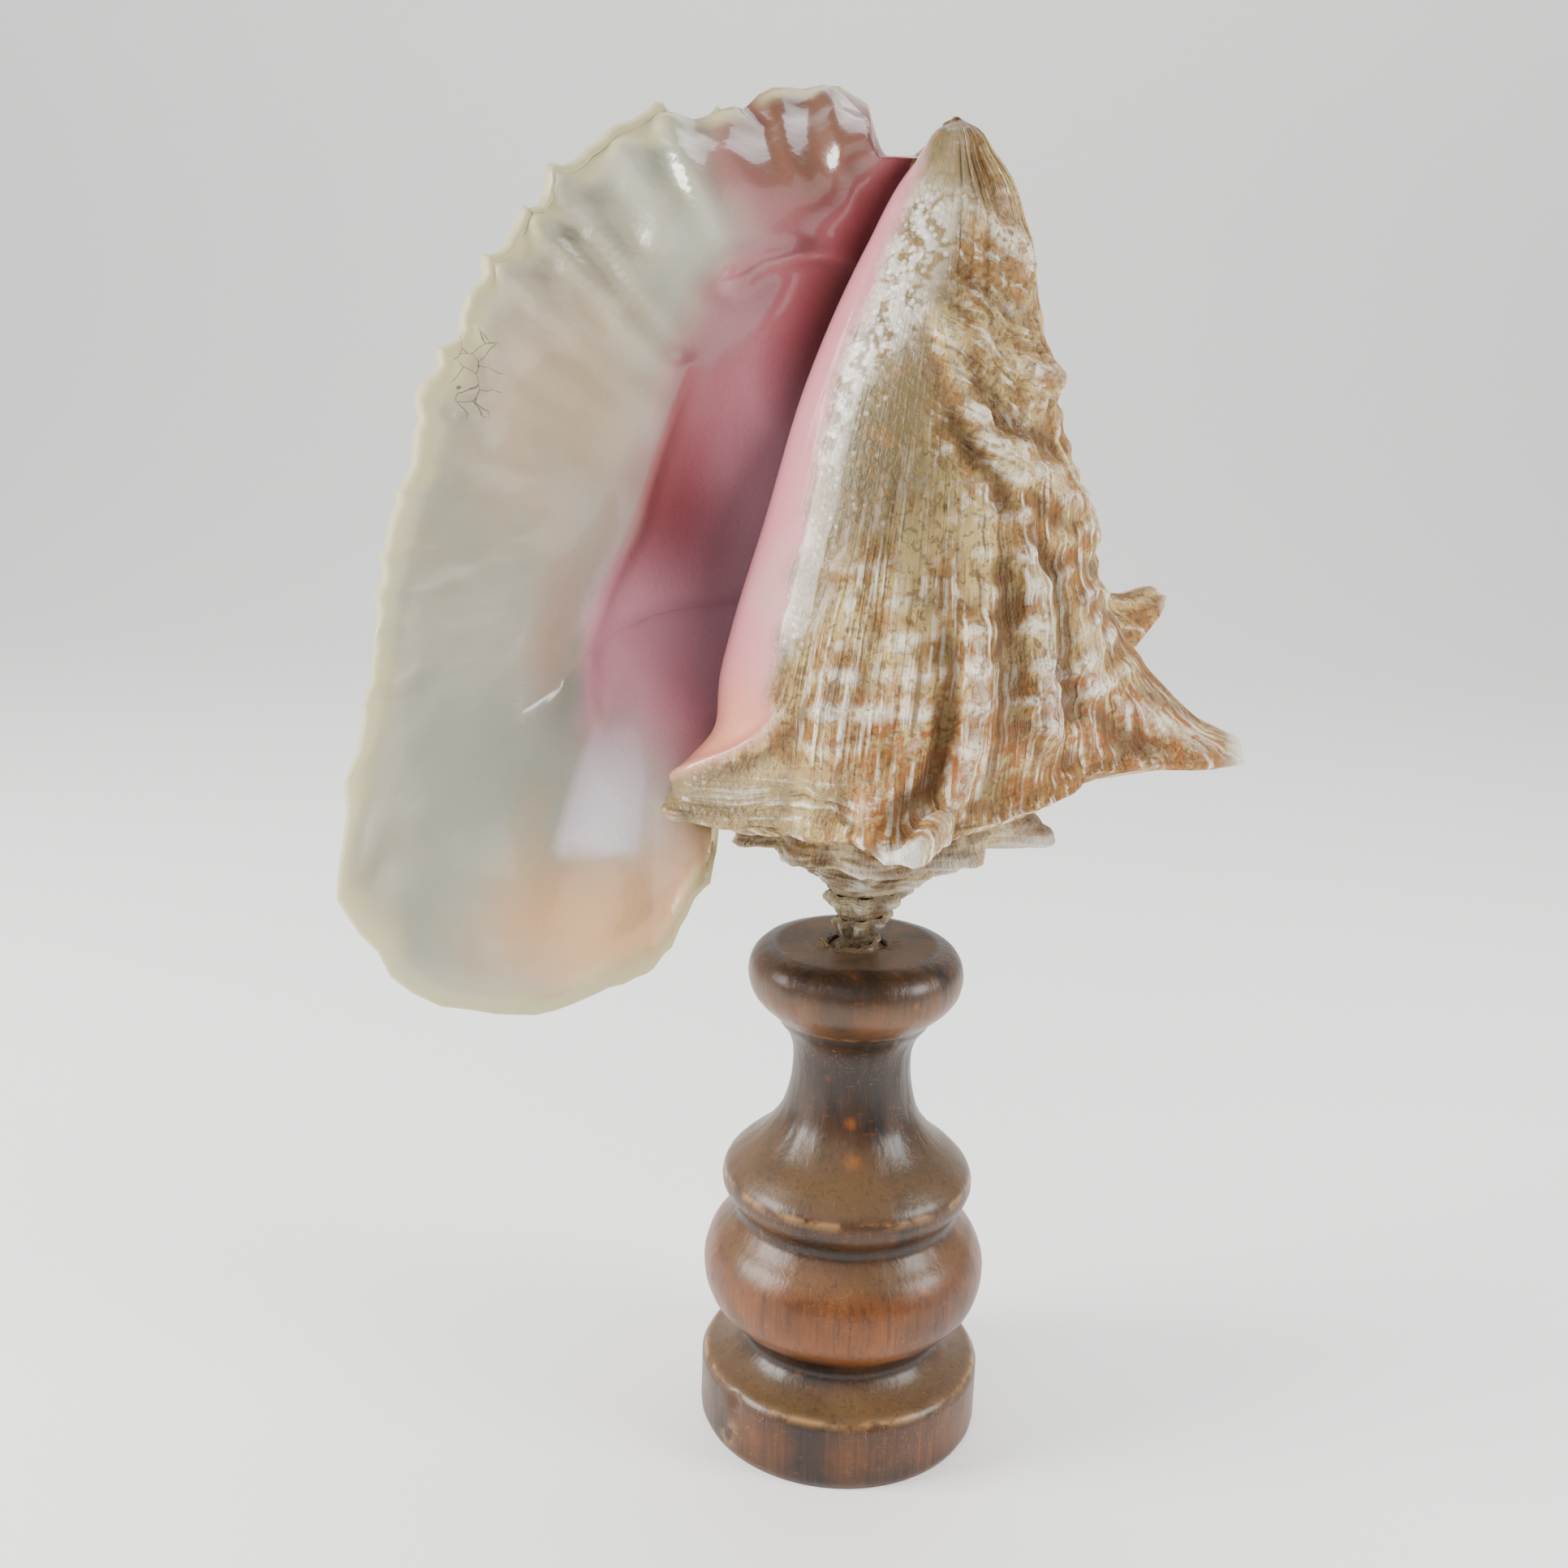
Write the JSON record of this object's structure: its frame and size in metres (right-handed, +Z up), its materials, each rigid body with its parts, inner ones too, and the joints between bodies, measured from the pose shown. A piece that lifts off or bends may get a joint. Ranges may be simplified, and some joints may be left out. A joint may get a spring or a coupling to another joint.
{
  "type": "conch shell on stand",
  "caption": "Large spiny conch shell with a wide flared lip and a pink mouth, set apex down in a turned dark wooden stand.",
  "frame": {"origin": "centre of the stand's flat foot, on the surface that it rests on", "axes": "+Z up along the stand's axis, -Y towards the front, where the shell's mouth opens, +X to the right seen from the front, on the side away from the lip"},
  "size_m": [0.2216, 0.1472, 0.3551],
  "materials": {
    "conch_shell": "tan and white ribbed shell, glossy cream and pink inside the lip",
    "wooden_stand": "dark walnut stain, satin, rubbed orange-brown"
  },
  "bodies": {
    "root": {"conch_shell": "conch_shell", "wooden_stand": "wooden_stand"}
  },
  "joints": []
}
